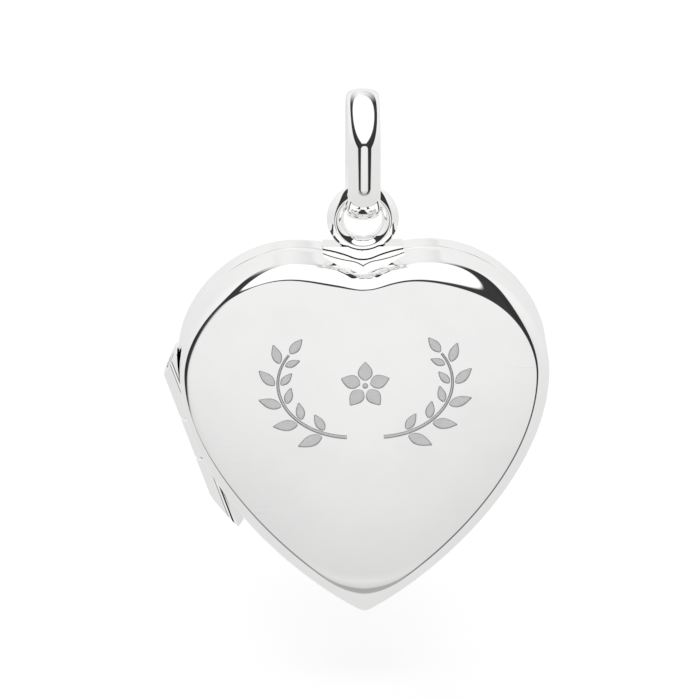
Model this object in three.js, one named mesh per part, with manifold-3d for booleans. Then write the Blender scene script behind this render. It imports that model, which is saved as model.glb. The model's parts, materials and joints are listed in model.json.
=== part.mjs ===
// Heart locket hanging from a loop bail. Two hollow covers meet on a flat seam and turn on a
// three-knuckle hinge at the lower left. Inside, each cover holds a snap-in frame, a clear
// window and a blank card. Millimetres, +Z up, the front faces -Y.
// The origin is the chain seat, the highest point inside the bail.

import * as THREE from 'three';
import { mergeVertices } from 'three/addons/utils/BufferGeometryUtils.js';
import Module from 'manifold-3d';

const wasm = await Module();
wasm.setup();

// ---------- driving dimensions ----------

// The covers are drawn about the heart's centre in the seam plane: x right, y up, z forward.
const HEART_CENTRE = new THREE.Vector3(0, -0.7, -22.5); // in the locket's own frame

// right half of the outline
const CLEFT_Y = 11.2;
const CLEFT_SLOPE = 0.7;
const LOBE_TOP = new THREE.Vector2(4.5, 12.38);
const WIDEST = new THREE.Vector2(12.5, 4.45);
const TIP_Y = -12.95;
const TIP_ANGLE = 0.485; // how steeply the outline leaves the tip
const HANDLE = { cleft: 0.95, lobeIn: 1.9, lobeOut: 4.6, sideUp: 3.6, sideDown: 7.6, tip: 5.4 };
const CLEFT_ROUND = 1.9; // radius at the bottom of the cleft
const TIP_ROUND = 0.7; // radius at the tip of the outline, and more where it is moved inwards
const TIP_ROUND_GROWTH = 3.6;
const ARC_REACH = 10; // no arc has its centre further than this above the tip or the cleft
const HALF_STEPS = 40;
const CROWDING = 0.35; // how much closer the points lie at the cleft and the tip

// covers
const FRONT_DEPTH = 3.8;
const BACK_DEPTH = 2.5;
const SHOULDER = 1.0;
const WALL = 0.5;
const INNER_CORNER = 0.5;
const FACE_DOME = 0.2;
const SOLDER_GAP = 0.08;
const MOVING_GAP = 0.12;

// fittings inside the covers, as insets from the outline and heights from the seam
const RIM_OUTER = WALL + MOVING_GAP;
const RIM_INNER = 0.98;
const RIM_STANDS = 0.6; // how far the snap rim stands out of the back cover
const LEDGE_INNER = 1.8;
const LEDGE_THICK = 0.3;
const FRAME_OUTER = 1.04;
const FRAME_INNER = 1.8;
const FRAME_WALL = 0.3;
const FRAME_LIP = 0.3;
const BACK_STACK = -0.15; // visible face of the back frame
const FRONT_STACK = 0.75; // visible face of the front frame
const SHEET_INSET = 1.42;
const WINDOW_THICK = 0.2;
const CARD_THICK = 0.2;
const SHEET_GAP = 0.05;

// hinge, drawn in its own frame: x across the tube, y along the axis
const HINGE_CENTRE = new THREE.Vector2(-11.16, -0.92);
const HINGE_TILT = THREE.MathUtils.degToRad(19.3);
const TUBE_RADIUS = 0.8;
const BORE_RADIUS = 0.42;
const PIN_RADIUS = 0.34;
const MIDDLE_LENGTH = 2.9;
const KNUCKLE_GAP = 0.15;
const TUBE_END = 9;
const UPPER_FILED = [{ at: 5.74, slope: 1.07 }, { at: 6.45, slope: 0 }];
const LOWER_FILED = [{ at: -6.31, slope: -2.51 }, { at: -7.16, slope: 0.4 }];
const WEB_THICK = 0.8;
const OWN_GROOVE = TUBE_RADIUS + SOLDER_GAP;
const RELIEF_GROOVE = TUBE_RADIUS + MOVING_GAP;
const BEARER_INNER = 1.3;
const BEARER_DEPTH = 1.6;
const BEARER_TOP = 5.2;
const BEARER_BOTTOM = -5.4;

// catch bead and thumbnail notch, on the side away from the hinge
const CATCH_Y = 1.0;
const BEAD_RADIUS = 0.28;
const BEAD_STANDS = 0.08;
const NOTCH_Y = -2.6;
const NOTCH_RADIUS = 0.4;
const NOTCH_LENGTH = 2.8;
const CLEFT_NOTCH_BOTTOM = 11.3; // V filed across the cleft of the front cover
const CLEFT_NOTCH_SIDE = new THREE.Vector2(2.75, 12.13);
const CLEFT_NOTCH_DEPTH = 2.6;

// eye and saddle
const EYE_Z = -8.25;
const EYE_RADIUS = 1.86;
const EYE_WIRE = 0.57;
const SADDLE_TOP = 12.42; // above the heart's centre
const SADDLE_HALF_WIDTH = 2.7;
const SADDLE_FRONT = -0.1;
const SADDLE_BACK = -1.6;

// bail: an oval loop in the YZ plane
const BAIL_WIDTH = 2.2;
const BAIL_THICK = 0.84;
const BAIL_BULGE = 2.1; // exponent of its cross-section, 2 would be an ellipse
const BAIL_INNER_DEPTH = 4.4;
const BAIL_INNER_BOTTOM = -7.35;
const BAIL_ARC_STEPS = 22;
const BAIL_SECTION_STEPS = 20;

// ---------- materials ----------

const polished = new THREE.MeshStandardMaterial({ color: 0xd6d7d9, roughness: 0.12, metalness: 1 });
const satin = new THREE.MeshStandardMaterial({ color: 0xbfc0c2, roughness: 0.4, metalness: 1 });
const clear = new THREE.MeshStandardMaterial({ color: 0xf2f5f6, roughness: 0.08, metalness: 0 });
const paper = new THREE.MeshStandardMaterial({ color: 0xf1eee6, roughness: 0.9, metalness: 0 });

// ---------- solids from rings, and cuts ----------

// Joins rings of equal count into one closed solid. Rings are arrays of Vector3. A closed loft
// runs from the last ring back to the first, and an open one is capped from the two centres.
function loft(rings, centres) {
  const count = rings[0].length;
  const points = rings.flat();
  const faces = [];
  const spans = centres ? rings.length - 1 : rings.length;
  for (let r = 0; r < spans; r++) {
    const here = r * count;
    const next = ((r + 1) % rings.length) * count;
    for (let i = 0; i < count; i++) {
      const j = (i + 1) % count;
      faces.push(here + i, here + j, next + i, here + j, next + j, next + i);
    }
  }
  if (centres) {
    const last = (rings.length - 1) * count;
    const [first, end] = [points.length, points.length + 1];
    points.push(...centres);
    for (let i = 0; i < count; i++) {
      const j = (i + 1) % count;
      faces.push(first, j, i, end, last + i, last + j);
    }
  }
  const geometry = new THREE.BufferGeometry().setFromPoints(points);
  geometry.setIndex(faces);
  return faceOut(geometry);
}

// Turns every triangle round if the solid is inside out.
function faceOut(geometry) {
  const index = geometry.index.array;
  const corner = [0, 1, 2].map(() => new THREE.Vector3());
  let volume = 0;
  for (let i = 0; i < index.length; i += 3) {
    corner.forEach((c, k) => c.fromBufferAttribute(geometry.attributes.position, index[i + k]));
    volume += corner[0].dot(corner[1].cross(corner[2]));
  }
  if (volume < 0) {
    for (let i = 0; i < index.length; i += 3) [index[i], index[i + 1]] = [index[i + 1], index[i]];
  }
  return geometry;
}

function toSolid(geometry) {
  let bare = geometry.clone();
  bare.deleteAttribute('normal');
  bare.deleteAttribute('uv');
  bare = mergeVertices(bare, 1e-5);
  const vertProperties = new Float32Array(bare.attributes.position.array);
  const triVerts = new Uint32Array(bare.index.array);
  return new wasm.Manifold(new wasm.Mesh({ numProp: 3, vertProperties, triVerts }));
}

function toGeometry(solid) {
  const mesh = solid.getMesh();
  const geometry = new THREE.BufferGeometry();
  geometry.setAttribute('position', new THREE.BufferAttribute(mesh.vertProperties, 3));
  geometry.setIndex(new THREE.BufferAttribute(mesh.triVerts, 1));
  return geometry;
}

const cut = (geometry, ...tools) =>
  toGeometry(tools.reduce((solid, tool) => solid.subtract(toSolid(tool)), toSolid(geometry)));
const join = (geometry, ...others) =>
  toGeometry(others.reduce((solid, other) => solid.add(toSolid(other)), toSolid(geometry)));
const common = (geometry, other) =>
  toGeometry(toSolid(geometry).intersect(toSolid(other)));

// ---------- heart outline ----------

function outlineHalf() {
  const cleft = new THREE.Vector2(0, CLEFT_Y);
  const tip = new THREE.Vector2(0, TIP_Y);
  const from = (point, x, y) => point.clone().add(new THREE.Vector2(x, y));
  const tipRise = [HANDLE.tip * Math.cos(TIP_ANGLE), HANDLE.tip * Math.sin(TIP_ANGLE)];
  const half = new THREE.CurvePath();
  half.add(new THREE.CubicBezierCurve(cleft, from(cleft, HANDLE.cleft, CLEFT_SLOPE * HANDLE.cleft),
    from(LOBE_TOP, -HANDLE.lobeIn, 0), LOBE_TOP));
  half.add(new THREE.CubicBezierCurve(LOBE_TOP, from(LOBE_TOP, HANDLE.lobeOut, 0),
    from(WIDEST, 0, HANDLE.sideUp), WIDEST));
  half.add(new THREE.CubicBezierCurve(WIDEST, from(WIDEST, 0, -HANDLE.sideDown),
    from(tip, ...tipRise), tip));
  return half;
}

const OUTLINE = outlineHalf();
const SAMPLES = 400;
const ARC_STEPS = 12;

// The half outline, moved inwards, with its sharp ends.
function movedHalf(inset) {
  const line = [];
  for (let k = 0; k <= SAMPLES; k++) {
    const point = OUTLINE.getPointAt(k / SAMPLES);
    const along = OUTLINE.getTangentAt(k / SAMPLES);
    line.push(point.add(new THREE.Vector2(along.y, -along.x).multiplyScalar(inset)));
  }
  return line;
}

// The point on the line of symmetry, above the given height, that is a radius away from a line.
function arcCentre(line, radius, height) {
  let low = height;
  let high = height + ARC_REACH;
  for (let k = 0; k < 40; k++) {
    const middle = (low + high) / 2;
    if (Math.min(...line.map((p) => Math.hypot(p.x, p.y - middle))) < radius) low = middle;
    else high = middle;
  }
  return new THREE.Vector2(0, high);
}

// An arc below its centre, from the line of symmetry to the nearest point of the line.
function arcTo(line, centre, radius) {
  const reach = line.map((p) => p.distanceTo(centre));
  const touch = reach.indexOf(Math.min(...reach));
  const end = Math.atan2(line[touch].x, centre.y - line[touch].y);
  const points = [];
  for (let k = 0; k < ARC_STEPS; k++) {
    const turn = (end * k) / ARC_STEPS;
    points.push(new THREE.Vector2(radius * Math.sin(turn), centre.y - radius * Math.cos(turn)));
  }
  return { points, touch };
}

const CLEFT_CENTRE = arcCentre(movedHalf(0), CLEFT_ROUND, CLEFT_Y);

// The right half of the outline moved inwards, from the rounded cleft to the rounded tip.
function insetHalf(inset) {
  const line = movedHalf(inset);
  const tipRound = TIP_ROUND + TIP_ROUND_GROWTH * Math.max(inset, 0);
  const cleft = arcTo(line, CLEFT_CENTRE, CLEFT_ROUND + inset);
  const tip = arcTo(line, arcCentre(line, tipRound, TIP_Y), tipRound);
  const rounded = [...cleft.points, ...line.slice(cleft.touch, tip.touch), ...tip.points.reverse()];
  const path = new THREE.CurvePath();
  for (let k = 1; k < rounded.length; k++) path.add(new THREE.LineCurve(rounded[k - 1], rounded[k]));
  const spaced = [];
  for (let k = 0; k <= HALF_STEPS; k++) {
    const even = k / HALF_STEPS;
    spaced.push(path.getPointAt(even - (CROWDING * Math.sin(2 * Math.PI * even)) / (2 * Math.PI)));
  }
  return spaced;
}

// The whole outline as a ring of points at height z, drawn in towards the centre by scale.
function heartRing(inset, z, scale = 1) {
  const right = insetHalf(inset);
  const left = right.slice(1, -1).reverse().map((p) => new THREE.Vector2(-p.x, p.y));
  return right.concat(left).map((p) => new THREE.Vector3(p.x * scale, p.y * scale, z));
}

// A ring-shaped piece: its section goes round the outline, as [inset, height] corners.
const heartBand = (section) => loft(section.map(([inset, z]) => heartRing(inset, z)));

// A flat sheet with the heart's outline.
const heartSheet = (inset, low, high) =>
  loft([heartRing(inset, low), heartRing(inset, high)],
    [new THREE.Vector3(0, 0, low), new THREE.Vector3(0, 0, high)]);

// ---------- covers ----------

// A hollow cover, open at the seam. side is 1 for the front and -1 for the back.
function coverShell(depth, dome, side) {
  const rings = [];
  const outerCentre = new THREE.Vector3(0, 0, side * (depth + dome));
  for (const scale of [0.3, 0.55, 0.8]) {
    rings.push(heartRing(SHOULDER, side * (depth + dome * (1 - scale * scale)), scale));
  }
  for (let k = 0; k <= 5; k++) {
    const turn = (k / 5) * (Math.PI / 2);
    const inset = SHOULDER * (1 - Math.sin(turn));
    rings.push(heartRing(inset, side * (depth - SHOULDER + SHOULDER * Math.cos(turn))));
  }
  rings.push(heartRing(0, 0));
  rings.push(heartRing(WALL, 0));
  rings.push(heartRing(WALL, side * (depth - WALL - INNER_CORNER)));
  rings.push(heartRing(WALL + INNER_CORNER, side * (depth - WALL)));
  return loft(rings, [outerCentre, new THREE.Vector3(0, 0, side * (depth - WALL))]);
}

// ---------- hinge ----------

// Moves a solid drawn in the hinge's frame to its place on the heart.
function onHinge(geometry) {
  geometry.rotateZ(HINGE_TILT);
  geometry.translate(HINGE_CENTRE.x, HINGE_CENTRE.y, 0);
  return geometry;
}

function hingeRod(radius, low, high) {
  const rod = new THREE.CylinderGeometry(radius, radius, high - low, 32);
  rod.translate(0, (low + high) / 2, 0);
  return onHinge(rod);
}

function hingeBlock(left, right, low, high, back, front) {
  const block = new THREE.BoxGeometry(right - left, high - low, front - back);
  block.translate((left + right) / 2, (low + high) / 2, (back + front) / 2);
  return onHinge(block);
}

// Everything past a filed end: a block whose near face crosses the axis at the given place.
function filing({ at, slope }) {
  const size = 12;
  const block = new THREE.BoxGeometry(size, size, size);
  block.translate(0, (Math.sign(at) * size) / 2, 0);
  block.rotateZ(Math.atan(slope));
  block.translate(0, at, 0);
  return onHinge(block);
}

const MIDDLE = MIDDLE_LENGTH / 2;
const SIDE_START = MIDDLE + KNUCKLE_GAP;
const pinBore = () => hingeRod(BORE_RADIUS, -TUBE_END, TUBE_END);

// A knuckle of the back cover: the tube, and the web that joins it to the cover's wall.
function sideKnuckle(low, high, filed) {
  const wall = heartSheet(-SOLDER_GAP, -BACK_DEPTH, FRONT_DEPTH);
  const web = cut(hingeBlock(0, 3, low, high, -WEB_THICK, -SOLDER_GAP), wall);
  return cut(join(hingeRod(TUBE_RADIUS, low, high), web), pinBore(), ...filed.map(filing));
}

function middleKnuckle() {
  return cut(hingeRod(TUBE_RADIUS, -MIDDLE, MIDDLE), pinBore());
}

function hingePin() {
  const rod = hingeRod(PIN_RADIUS, -TUBE_END, TUBE_END);
  return cut(rod, ...UPPER_FILED.map(filing), ...LOWER_FILED.map(filing));
}

// Grooves that the tube lies in: close round a half's own knuckles, wider round the others.
function grooves(ownsMiddle) {
  const middle = ownsMiddle ? OWN_GROOVE : RELIEF_GROOVE;
  const sides = ownsMiddle ? RELIEF_GROOVE : OWN_GROOVE;
  return [
    hingeRod(middle, -MIDDLE - KNUCKLE_GAP / 2, MIDDLE + KNUCKLE_GAP / 2),
    hingeRod(sides, MIDDLE + KNUCKLE_GAP / 2 - 0.05, TUBE_END),
    hingeRod(sides, -TUBE_END, -MIDDLE - KNUCKLE_GAP / 2 + 0.05),
  ];
}

// The strip inside a wall that backs up the grooves, and the room that other pieces leave it.
function bearer(side, ownsMiddle) {
  const low = side * SOLDER_GAP;
  const high = side * BEARER_DEPTH;
  const band = heartBand([[WALL + SOLDER_GAP, low], [WALL + SOLDER_GAP, high],
    [BEARER_INNER, high], [BEARER_INNER, low]]);
  const span = hingeBlock(-3, 4, BEARER_BOTTOM, BEARER_TOP, -5, 5);
  return cut(common(band, span), ...grooves(ownsMiddle));
}

function bearerRoom() {
  const room = 0.1;
  const band = heartBand([[0.2, -BEARER_DEPTH - room], [0.2, BEARER_DEPTH + room],
    [BEARER_INNER + SOLDER_GAP, BEARER_DEPTH + room],
    [BEARER_INNER + SOLDER_GAP, -BEARER_DEPTH - room]]);
  const span = hingeBlock(-3, 4, BEARER_BOTTOM - room, BEARER_TOP + room, -5, 5);
  return common(band, span);
}

// ---------- fittings inside the covers ----------

// Where the outline crosses the given height on the right, and which way is inwards there.
function rightSide(y) {
  const steps = 2000;
  let best = { miss: Infinity };
  for (let k = steps / 3; k <= steps; k++) {
    const point = OUTLINE.getPointAt(k / steps);
    const miss = Math.abs(point.y - y);
    if (miss < best.miss) best = { miss, point, along: OUTLINE.getTangentAt(k / steps) };
  }
  return best;
}

// Turns a solid drawn with x inwards and y along the wall to the right side at height y.
function onRightSide(geometry, y, z) {
  const { point, along } = rightSide(y);
  geometry.rotateZ(Math.atan2(-along.x, along.y));
  geometry.translate(point.x, point.y, z);
  return geometry;
}

function beadRod(radius, from, to) {
  const rod = new THREE.CylinderGeometry(radius, radius, to - from, 20);
  rod.rotateZ(Math.PI / 2);
  rod.translate((from + to) / 2, 0, 0);
  return onRightSide(rod, CATCH_Y, RIM_STANDS / 2);
}

function beadDimple() {
  const ball = new THREE.SphereGeometry(0.5, 20, 12);
  ball.translate(WALL + 0.28, 0, 0);
  return onRightSide(ball, CATCH_Y, RIM_STANDS / 2);
}

function thumbNotch() {
  const rod = new THREE.CylinderGeometry(NOTCH_RADIUS, NOTCH_RADIUS, NOTCH_LENGTH, 20);
  rod.translate(-0.12, 0, 0);
  return onRightSide(rod, NOTCH_Y, 0);
}

// The V filed across the cleft of the front cover, under the eye.
function cleftNotch() {
  const wedge = new THREE.Shape([
    new THREE.Vector2(0, CLEFT_NOTCH_BOTTOM),
    new THREE.Vector2(CLEFT_NOTCH_SIDE.x, CLEFT_NOTCH_SIDE.y),
    new THREE.Vector2(CLEFT_NOTCH_SIDE.x, LOBE_TOP.y + 1),
    new THREE.Vector2(-CLEFT_NOTCH_SIDE.x, LOBE_TOP.y + 1),
    new THREE.Vector2(-CLEFT_NOTCH_SIDE.x, CLEFT_NOTCH_SIDE.y),
  ]);
  const prism = new THREE.ExtrudeGeometry(wedge, { depth: CLEFT_NOTCH_DEPTH + 1, bevelEnabled: false });
  prism.translate(0, 0, -1);
  return prism;
}

function snapRim() {
  const ledge = BACK_STACK - FRAME_LIP - WINDOW_THICK - CARD_THICK - 3 * SHEET_GAP;
  const section = [[WALL + SOLDER_GAP, -SOLDER_GAP], [WALL + SOLDER_GAP, ledge - LEDGE_THICK],
    [LEDGE_INNER, ledge - LEDGE_THICK], [LEDGE_INNER, ledge], [RIM_INNER, ledge],
    [RIM_INNER, RIM_STANDS], [RIM_OUTER, RIM_STANDS], [RIM_OUTER, -SOLDER_GAP]];
  return cut(heartBand(section), bearerRoom(), beadRod(BEAD_RADIUS + 0.03, 0, 2));
}

function seatRing() {
  const ledge = FRONT_STACK + FRAME_LIP + WINDOW_THICK + CARD_THICK + 3 * SHEET_GAP;
  const section = [[WALL + SOLDER_GAP, FRONT_STACK], [WALL + SOLDER_GAP, ledge + LEDGE_THICK],
    [LEDGE_INNER, ledge + LEDGE_THICK], [LEDGE_INNER, ledge], [RIM_INNER, ledge],
    [RIM_INNER, FRONT_STACK]];
  return cut(heartBand(section), bearerRoom());
}

// The stack of frame, window and card, from its visible face into the cover.
function photoFrame(face, side) {
  const lip = face + side * FRAME_LIP;
  const end = lip + side * (WINDOW_THICK + CARD_THICK + 2 * SHEET_GAP);
  const section = [[FRAME_OUTER, face], [FRAME_OUTER, end], [FRAME_OUTER + FRAME_WALL, end],
    [FRAME_OUTER + FRAME_WALL, lip], [FRAME_INNER, lip], [FRAME_INNER, face]];
  return cut(heartBand(section), bearerRoom());
}

function sheet(face, side, skipped, thick) {
  const low = face + side * (FRAME_LIP + SHEET_GAP + skipped);
  return heartSheet(SHEET_INSET, low, low + side * thick);
}

const photoWindow = (face, side) => sheet(face, side, 0, WINDOW_THICK);
const photoCard = (face, side) => sheet(face, side, WINDOW_THICK + SHEET_GAP, CARD_THICK);

// ---------- eye, saddle and bail ----------

const loopEye = () => new THREE.TorusGeometry(EYE_RADIUS, EYE_WIRE, 20, 48);

// The block soldered into the cleft of the back cover, hollowed on top for the eye.
function eyeSaddle() {
  const width = 2 * SADDLE_HALF_WIDTH;
  const block = new THREE.BoxGeometry(width, 4, SADDLE_FRONT - SADDLE_BACK);
  block.translate(0, SADDLE_TOP - 2, (SADDLE_FRONT + SADDLE_BACK) / 2);
  const heart = heartSheet(-SOLDER_GAP, -BACK_DEPTH, FRONT_DEPTH);
  const seat = new THREE.TorusGeometry(EYE_RADIUS, EYE_WIRE + SOLDER_GAP, 20, 48);
  const eyeHeight = EYE_Z - HEART_CENTRE.z;
  seat.translate(0, eyeHeight, HEART_CENTRE.y);
  const middle = new THREE.CylinderGeometry(EYE_RADIUS, EYE_RADIUS, 4, 32);
  middle.rotateX(Math.PI / 2);
  middle.translate(0, eyeHeight, 0);
  return cut(block, heart, seat, middle);
}

// An oval loop: a low-domed section carried round two half circles and two straights.
function bailLoop() {
  const radius = BAIL_INNER_DEPTH / 2 + BAIL_THICK / 2;
  const upper = BAIL_THICK / 2 - radius;
  const lower = BAIL_INNER_BOTTOM - BAIL_THICK / 2 + radius;
  const stations = [];
  for (const [centre, start] of [[upper, 0], [lower, Math.PI]]) {
    for (let k = 0; k <= BAIL_ARC_STEPS; k++) {
      stations.push({ centre, turn: start + (k / BAIL_ARC_STEPS) * Math.PI });
    }
  }
  const rings = stations.map(({ centre, turn }) => {
    const ring = [];
    for (let k = 0; k < BAIL_SECTION_STEPS; k++) {
      const a = (k / BAIL_SECTION_STEPS) * 2 * Math.PI;
      const bulge = (value) => Math.sign(value) * Math.abs(value) ** (2 / BAIL_BULGE);
      const across = (BAIL_WIDTH / 2) * bulge(Math.cos(a));
      const out = radius + (BAIL_THICK / 2) * bulge(Math.sin(a));
      ring.push(new THREE.Vector3(across, out * Math.cos(turn), centre + out * Math.sin(turn)));
    }
    return ring;
  });
  return loft(rings);
}

// ---------- assembly ----------

function piece(name, geometry, material) {
  if (!geometry.attributes.normal) geometry.computeVertexNormals();
  const mesh = new THREE.Mesh(geometry, material);
  mesh.name = name;
  return mesh;
}

function backHalf() {
  const cover = cut(coverShell(BACK_DEPTH, 0, -1), ...grooves(false));
  return new THREE.Group().add(
    piece('back_cover', cover, polished),
    piece('back_snap_rim', snapRim(), satin),
    piece('catch_bead', beadRod(BEAD_RADIUS, RIM_OUTER - BEAD_STANDS, RIM_INNER), satin),
    piece('back_hinge_bearer', bearer(-1, false), satin),
    piece('knuckle_upper', sideKnuckle(SIDE_START, TUBE_END, UPPER_FILED), polished),
    piece('knuckle_lower', sideKnuckle(-TUBE_END, -SIDE_START, LOWER_FILED), polished),
    piece('hinge_pin', hingePin(), satin),
    piece('eye_saddle', eyeSaddle(), polished),
    piece('back_photo_frame', photoFrame(BACK_STACK, -1), satin),
    piece('back_window', photoWindow(BACK_STACK, -1), clear),
    piece('back_photo_card', photoCard(BACK_STACK, -1), paper),
  );
}

function frontHalf() {
  const shell = coverShell(FRONT_DEPTH, FACE_DOME, 1);
  const cover = cut(shell, ...grooves(true), beadDimple(), thumbNotch(), cleftNotch());
  return new THREE.Group().add(
    piece('front_cover', cover, polished),
    piece('front_seat_ring', seatRing(), satin),
    piece('front_hinge_bearer', bearer(1, true), satin),
    piece('knuckle_middle', middleKnuckle(), polished),
    piece('front_photo_frame', photoFrame(FRONT_STACK, 1), satin),
    piece('front_window', photoWindow(FRONT_STACK, 1), clear),
    piece('front_photo_card', photoCard(FRONT_STACK, 1), paper),
  );
}

const heart = new THREE.Group().add(backHalf(), frontHalf());
heart.rotation.x = Math.PI / 2; // stands the heart up: its z becomes the locket's -Y
heart.position.copy(HEART_CENTRE);

const eye = piece('loop_eye', loopEye(), polished);
eye.rotation.x = Math.PI / 2;
eye.position.z = EYE_Z;

export default new THREE.Group().add(piece('bail', bailLoop(), polished), eye, heart);
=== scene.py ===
"""Heart locket on a loop bail: the fine shapes and finishes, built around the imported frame."""
import json
import math

import bmesh
import bpy
import numpy as np
from mathutils import Matrix, Vector


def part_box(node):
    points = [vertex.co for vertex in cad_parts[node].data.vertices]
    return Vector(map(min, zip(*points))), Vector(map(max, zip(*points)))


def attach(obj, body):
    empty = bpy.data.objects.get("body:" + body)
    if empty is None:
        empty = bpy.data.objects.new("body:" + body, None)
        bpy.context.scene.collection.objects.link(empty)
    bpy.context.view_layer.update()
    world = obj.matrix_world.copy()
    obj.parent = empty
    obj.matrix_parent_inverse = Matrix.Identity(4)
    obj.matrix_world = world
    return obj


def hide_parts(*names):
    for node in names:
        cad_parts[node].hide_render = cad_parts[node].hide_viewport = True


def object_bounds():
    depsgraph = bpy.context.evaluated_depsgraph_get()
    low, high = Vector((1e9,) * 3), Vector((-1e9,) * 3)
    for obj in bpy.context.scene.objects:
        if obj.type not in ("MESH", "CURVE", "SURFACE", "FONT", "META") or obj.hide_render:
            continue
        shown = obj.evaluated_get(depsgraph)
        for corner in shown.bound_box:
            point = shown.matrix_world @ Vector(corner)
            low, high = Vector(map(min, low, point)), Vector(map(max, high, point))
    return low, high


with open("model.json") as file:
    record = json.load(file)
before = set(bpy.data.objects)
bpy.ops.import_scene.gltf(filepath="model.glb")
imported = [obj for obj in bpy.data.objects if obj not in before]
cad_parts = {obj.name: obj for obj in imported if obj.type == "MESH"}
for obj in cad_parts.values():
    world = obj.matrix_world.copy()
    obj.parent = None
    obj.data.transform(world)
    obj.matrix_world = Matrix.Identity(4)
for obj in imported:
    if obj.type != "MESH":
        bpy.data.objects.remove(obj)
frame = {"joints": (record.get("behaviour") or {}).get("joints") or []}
CAD_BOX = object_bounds()
MM = 0.001

# ---------- driving dimensions, in millimetres ----------

# The covers are drawn about the heart's centre in the seam plane: x right, y up, z forward.
LOBE_TOP = (4.5, 12.38)
WIDEST = (12.5, 4.45)
CLEFT_Y = 11.2
CLEFT_SLOPE = 0.7
CLEFT_ROUND = 1.9
TIP_Y = -12.95
TIP_ANGLE = 0.485
TIP_ROUND = 0.7
TIP_ROUND_GROWTH = 3.6
HANDLE = {"cleft": 0.95, "lobe_in": 1.9, "lobe_out": 4.6, "up": 3.6, "down": 7.6, "tip": 5.4}
CURVE_STEPS = (300, 600, 900)
HALF_STEPS = 200
CROWDING = 0.5

COVER_LOW, COVER_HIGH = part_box("front_cover")
SEAM_Y = COVER_HIGH.y / MM
HEART_Z = COVER_HIGH.z / MM - LOBE_TOP[1]
FACE_DOME = 0.2
FRONT_DEPTH = SEAM_Y - COVER_LOW.y / MM - FACE_DOME
BACK_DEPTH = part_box("back_cover")[1].y / MM - SEAM_Y
SHOULDER = 1.0
SLOW_RADIUS = 1.8
SLOW_TURN = 8
EDGE_TILT = 2.1
WALL = 0.5
INNER_CORNER = 0.5
SEAM_EDGE = 0.05
WIDE_SHOULDER = 1.5
SOLDER_GAP = 0.08

RIM_OUTER = 0.62
RIM_INNER = 0.98
RIM_STANDS = 0.6
LEDGE_INNER = 1.8
LEDGE_THICK = 0.3
FRAME_OUTER = 1.04
FRAME_INNER = 1.8
FRAME_WALL = 0.3
FRAME_LIP = 0.3
BACK_STACK = -0.15
FRONT_STACK = 0.75
SHEET_INSET = 1.42
SHEET_THICK = 0.2
SHEET_GAP = 0.05

HINGE = next(j for j in frame["joints"] if j["name"] == "cover_hinge")
HINGE_AT = np.array(HINGE["pos_m"]) / MM
HINGE_UP = -np.array(HINGE["axis"])
HINGE_ACROSS = np.array([HINGE_UP[2], 0, -HINGE_UP[0]])
TUBE_RADIUS = 0.8
BORE_RADIUS = 0.42
PIN_RADIUS = 0.34
TUBE_END = 9
MIDDLE = 1.45
KNUCKLE_GAP = 0.15
UPPER_FILED = ((5.74, 1.07), (6.45, 0))
LOWER_FILED = ((-6.31, -2.51), (-7.16, 0.4))
WEB_THICK = 0.8
WEB_REACH = 3
WEB_ROOT = ((0.5, -SOLDER_GAP), (0.05, 0.01 - WEB_THICK))
WEB_SHORT = 0.02
OWN_GROOVE = 0.88
RELIEF_GROOVE = 0.92
GROOVE_LAP = 0.05
TUBE_STEPS = 96
TUBE_EDGE = 0.05
BEARER_INNER = 1.3
BEARER_DEPTH = 1.6
BEARER_TOP = 5.2
BEARER_BOTTOM = -5.4
BEARER_ROOM = 0.1

CATCH_Y = 1.0
BEAD_RADIUS = 0.28
BEAD_STANDS = 0.08
BEAD_ROOM = 0.03
DIMPLE_RADIUS = 0.36
DIMPLE_SPAN = (0.3, 0.65)
NOTCH_Y = -2.6
NOTCH_RADIUS = 0.4
NOTCH_LENGTH = 2.8
NOTCH_OUT = 0.12
CLEFT_NOTCH_BOTTOM = 11.3
CLEFT_NOTCH_SIDE = (2.75, 12.13)
CLEFT_NOTCH_DEPTH = 2.6

SADDLE_TOP = 12.42
SADDLE_HALF_WIDTH = 2.7
SADDLE_FRONT = -0.1
SADDLE_BACK = -1.6

EYE_LOW, EYE_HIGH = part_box("loop_eye")
EYE_WIRE = (EYE_HIGH.y - EYE_LOW.y) / 2 / MM
EYE_RADIUS = (EYE_HIGH.x - EYE_LOW.x) / 2 / MM - EYE_WIRE
EYE_Z = (EYE_HIGH.z + EYE_LOW.z) / 2 / MM
EYE_TURNS = 120
EYE_SIDES = 40

BAIL_LOW, BAIL_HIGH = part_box("bail")
BAIL_WIDTH = (BAIL_HIGH.x - BAIL_LOW.x) / MM
BAIL_THICK = BAIL_HIGH.z / MM
BAIL_OUTER = (BAIL_HIGH.y - BAIL_LOW.y) / 2 / MM
BAIL_BULGE = 2.1

# ---------- heart outline ----------


def bezier(points, count):
    t = np.linspace(0, 1, count)[:, None]
    a, b, c, d = [np.array(p, float) for p in points]
    return (1 - t) ** 3 * a + 3 * (1 - t) ** 2 * t * b + 3 * (1 - t) * t ** 2 * c + t ** 3 * d


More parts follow.
